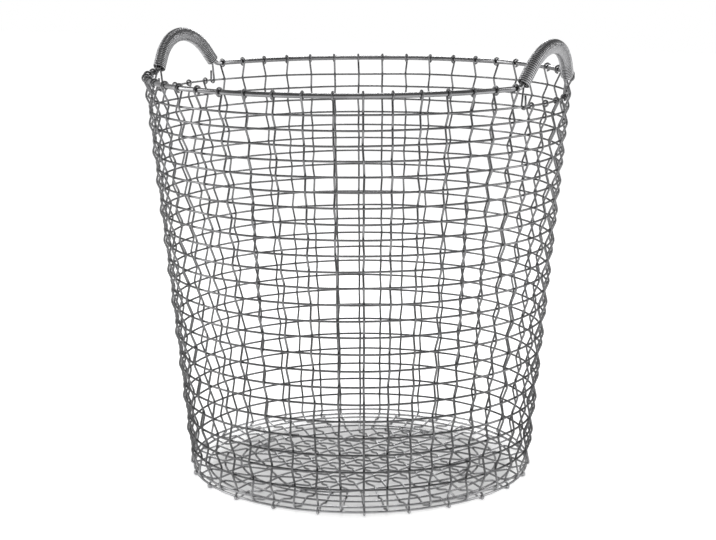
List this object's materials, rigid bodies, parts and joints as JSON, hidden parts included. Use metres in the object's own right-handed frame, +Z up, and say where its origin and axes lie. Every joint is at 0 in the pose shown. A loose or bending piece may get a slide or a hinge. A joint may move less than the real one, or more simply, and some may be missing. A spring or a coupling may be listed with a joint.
{
  "type": "wire basket",
  "caption": "Round tapering basket woven from steel wire, with a heavy rim rod that rises into two arched, coil-wrapped handles and a flat woven bottom.",
  "frame": {"origin": "on the ground, on the basket's axis, midway between the two handles", "axes": "+Z up, +X towards the right handle, +Y along the rim from it, seen from above anticlockwise"},
  "size_m": [0.4914, 0.4909, 0.5066],
  "materials": {
    "rim_steel": "satin",
    "ring_steel": "satin",
    "hoop_steel": "satin",
    "wire_steel": "satin",
    "coil_steel": "satin"
  },
  "bodies": {
    "root": {"rim_rod": "rim_steel", "foot_ring": "ring_steel", "base_hoop_1": "hoop_steel", "base_hoop_2": "hoop_steel", "base_hoop_3": "hoop_steel", "base_hoop_4": "hoop_steel", "wall_hoop_01": "hoop_steel", "wall_hoop_02": "hoop_steel", "wall_hoop_03": "hoop_steel", "wall_hoop_04": "hoop_steel", "wall_hoop_05": "hoop_steel", "wall_hoop_06": "hoop_steel", "wall_hoop_07": "hoop_steel", "wall_hoop_08": "hoop_steel", "wall_hoop_09": "hoop_steel", "wall_hoop_10": "hoop_steel", "wall_hoop_11": "hoop_steel", "wall_hoop_12": "hoop_steel", "wall_hoop_13": "hoop_steel", "wall_hoop_14": "hoop_steel", "wall_hoop_15": "hoop_steel", "wall_hoop_16": "hoop_steel", "wall_hoop_17": "hoop_steel", "wall_hoop_18": "hoop_steel", "wall_hoop_19": "hoop_steel", "wall_hoop_20": "hoop_steel", "wall_hoop_21": "hoop_steel", "wall_hoop_22": "hoop_steel", "wall_hoop_23": "hoop_steel", "wall_hoop_24": "hoop_steel", "wall_hoop_25": "hoop_steel", "through_wire_a_01": "wire_steel", "through_wire_a_02": "wire_steel", "through_wire_a_03": "wire_steel", "through_wire_a_04": "wire_steel", "through_wire_a_05": "wire_steel", "through_wire_a_06": "wire_steel", "through_wire_a_07": "wire_steel", "through_wire_a_08": "wire_steel", "through_wire_a_09": "wire_steel", "through_wire_a_10": "wire_steel", "through_wire_a_11": "wire_steel", "through_wire_a_12": "wire_steel", "through_wire_b_01": "wire_steel", "through_wire_b_02": "wire_steel", "through_wire_b_03": "wire_steel", "through_wire_b_04": "wire_steel", "through_wire_b_05": "wire_steel", "through_wire_b_06": "wire_steel", "through_wire_b_07": "wire_steel", "through_wire_b_08": "wire_steel", "through_wire_b_09": "wire_steel", "through_wire_b_10": "wire_steel", "through_wire_b_11": "wire_steel", "through_wire_b_12": "wire_steel", "handle_coil_right": "coil_steel", "handle_coil_left": "coil_steel", "handle_stay_right": "wire_steel", "handle_stay_left": "wire_steel"}
  },
  "joints": []
}
